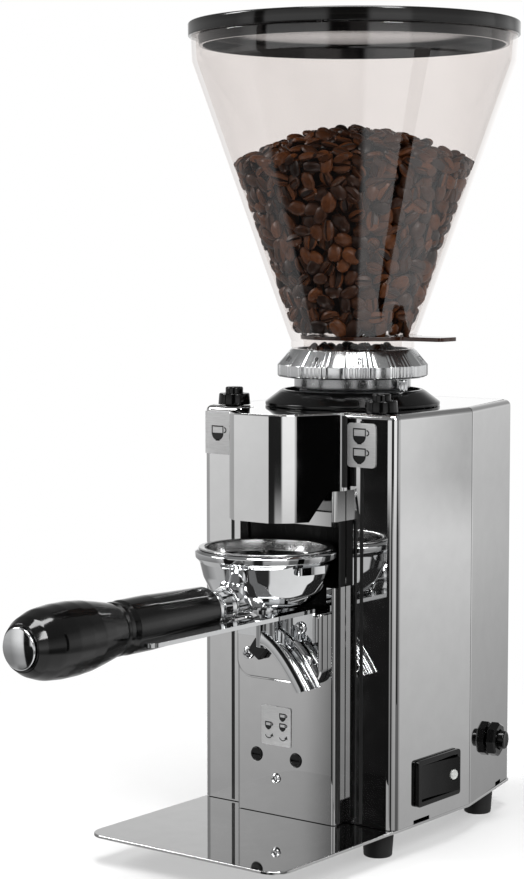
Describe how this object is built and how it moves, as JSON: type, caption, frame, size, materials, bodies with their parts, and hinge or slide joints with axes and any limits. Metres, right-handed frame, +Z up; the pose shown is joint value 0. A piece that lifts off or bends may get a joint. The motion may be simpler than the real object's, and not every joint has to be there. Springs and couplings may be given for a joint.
{
  "type": "burr coffee grinder",
  "caption": "Compact on-demand burr coffee grinder with a clear conical hopper, timed dose buttons, a drip tray and a handled filter holder resting on a fork.",
  "frame": {"origin": "middle of the underside of the bounding box, on the plane the feet stand on", "axes": "+Z up, -Y is the front with the tray and portafilter handle, +X is the side with the switch and gate tab"},
  "size_m": [0.167, 0.3418, 0.4092],
  "materials": {
    "polished_steel": "mirror-polished stainless steel sheet",
    "chrome_plate": "bright chrome plating",
    "stainless_basket": "pressed stainless steel",
    "machined_steel": "machined steel",
    "cast_aluminium": "die-cast, untreated",
    "stator": "varnished laminations",
    "black_gloss": "glossy black moulding",
    "black_matte": "plain black moulding",
    "black_rubber": "moulded black rubber",
    "silver_label": "satin silver foil label",
    "clear_plastic": "clear, slightly smoky plastic",
    "amber_plastic": "dark amber plastic",
    "roasted_beans": "medium-roast coffee beans",
    "grey_case": "grey moulded capacitor case",
    "circuit_board": "green solder mask",
    "lamp_lens": "light grey lens"
  },
  "bodies": {
    "machine": {"adjusting_collar": "black_gloss", "base_plate": "polished_steel", "bracket_screw_left": "chrome_plate", "bracket_screw_right": "chrome_plate", "bump_stop": "black_rubber", "cable_gland": "black_matte", "column_screw": "chrome_plate", "cup_niche": "black_matte", "double_button_base": "black_gloss", "double_dose_label": "silver_label", "foot_front_left": "black_rubber", "foot_front_right": "black_rubber", "foot_rear_left": "black_rubber", "foot_rear_right": "black_rubber", "fork_bracket": "polished_steel", "fork_screw_left": "chrome_plate", "fork_screw_right": "chrome_plate", "front_column": "polished_steel", "fuse_holder": "black_gloss", "grinding_chamber": "cast_aluminium", "left_side_panel": "polished_steel", "motor_foot": "cast_aluminium", "motor_stator": "stator", "outlet_chute": "black_matte", "outlet_hood": "polished_steel", "portafilter_fork": "chrome_plate", "rear_cover": "polished_steel", "right_side_panel": "polished_steel", "run_capacitor": "grey_case", "single_button_base": "black_gloss", "single_dose_label": "silver_label", "switch_bezel": "black_gloss", "timer_board": "circuit_board", "timer_label": "silver_label", "top_cover": "polished_steel", "upper_end_bell": "cast_aluminium"},
    "burr_drive": {"motor_rotor": "machined_steel", "lower_burr_carrier": "machined_steel", "lower_burr": "machined_steel"},
    "dial": {"adjusting_dial": "chrome_plate"},
    "upper_carrier": {"upper_burr_carrier": "machined_steel", "upper_burr": "machined_steel"},
    "hopper_body": {"hopper": "clear_plastic", "coffee_beans": "roasted_beans"},
    "lid": {"hopper_lid": "black_gloss"},
    "gate": {"hopper_gate": "amber_plastic"},
    "single_button": {"single_dose_button": "black_gloss"},
    "double_button": {"double_dose_button": "black_gloss"},
    "single_trimmer": {"single_dose_trimmer": "black_matte"},
    "double_trimmer": {"double_dose_trimmer": "black_matte"},
    "rocker": {"power_rocker": "black_gloss", "switch_lamp": "lamp_lens"},
    "fuse_plug": {"fuse_cap": "black_gloss"},
    "lock_pin": {"dial_lock_pin": "chrome_plate"},
    "portafilter": {"portafilter_cup": "chrome_plate", "portafilter_spout": "chrome_plate", "handle_ferrule": "chrome_plate", "portafilter_handle": "black_gloss", "handle_end_cap": "chrome_plate"},
    "basket": {"filter_basket": "stainless_basket"}
  },
  "joints": [
    {"name": "burr_spin", "type": "hinge", "parent": "machine", "child": "burr_drive", "pos_m": [0, 0.07495, 0.1148], "axis": [0, 0, 1], "continuous": true},
    {"name": "dial_turn", "type": "hinge", "parent": "machine", "child": "dial", "pos_m": [0, 0.07495, 0.2368], "axis": [0, 0, 1], "range_deg": [-150, 150]},
    {"name": "burr_gap", "type": "slide", "parent": "machine", "child": "upper_carrier", "axis": [0, 0, 1], "range_m": [-0.00063, 0.00063]},
    {"name": "hopper_lift", "type": "slide", "parent": "machine", "child": "hopper_body", "axis": [0, 0, 1], "range_m": [0, 0.06]},
    {"name": "lid_lift", "type": "slide", "parent": "hopper_body", "child": "lid", "axis": [0, 0, 1], "range_m": [0, 0.05]},
    {"name": "gate_pull", "type": "slide", "parent": "hopper_body", "child": "gate", "axis": [1, 0, 0], "range_m": [0, 0.055]},
    {"name": "single_dose_press", "type": "slide", "parent": "machine", "child": "single_button", "axis": [0, 0, -1], "range_m": [0, 0.0015], "stiffness_N_per_m": 300, "springref_m": -0.001},
    {"name": "double_dose_press", "type": "slide", "parent": "machine", "child": "double_button", "axis": [0, 0, -1], "range_m": [0, 0.0015], "stiffness_N_per_m": 300, "springref_m": -0.001},
    {"name": "single_trimmer_turn", "type": "hinge", "parent": "machine", "child": "single_trimmer", "pos_m": [-0.0175, 0.01715, 0.0443], "axis": [0, -1, 0], "range_deg": [-135, 135]},
    {"name": "double_trimmer_turn", "type": "hinge", "parent": "machine", "child": "double_trimmer", "pos_m": [0.0069, 0.01715, 0.0443], "axis": [0, -1, 0], "range_deg": [-135, 135]},
    {"name": "rocker_tilt", "type": "hinge", "parent": "machine", "child": "rocker", "pos_m": [0.0579, 0.06395, 0.0348], "axis": [0, 0, 1], "range_deg": [0, 14]},
    {"name": "fuse_cap_turn", "type": "hinge", "parent": "machine", "child": "fuse_plug", "pos_m": [0.05297, 0.12595, 0.0423], "axis": [0.9771, 0.2128, 0], "range_deg": [0, 90]},
    {"name": "lock_pin_pull", "type": "slide", "parent": "machine", "child": "lock_pin", "axis": [0.9962, -0.0872, 0], "range_m": [0, 0.003], "stiffness_N_per_m": 200, "springref_m": -0.001},
    {"name": "portafilter_draw", "type": "slide", "parent": "machine", "child": "portafilter", "axis": [0, -1, 0], "range_m": [0, 0.12]},
    {"name": "basket_lift", "type": "slide", "parent": "portafilter", "child": "basket", "axis": [0, 0, 1], "range_m": [0, 0.0095]}
  ],
  "couplings": [
    {"joint": "burr_gap", "follows": "dial_turn", "m_per_rad": 0.00023873}
  ]
}
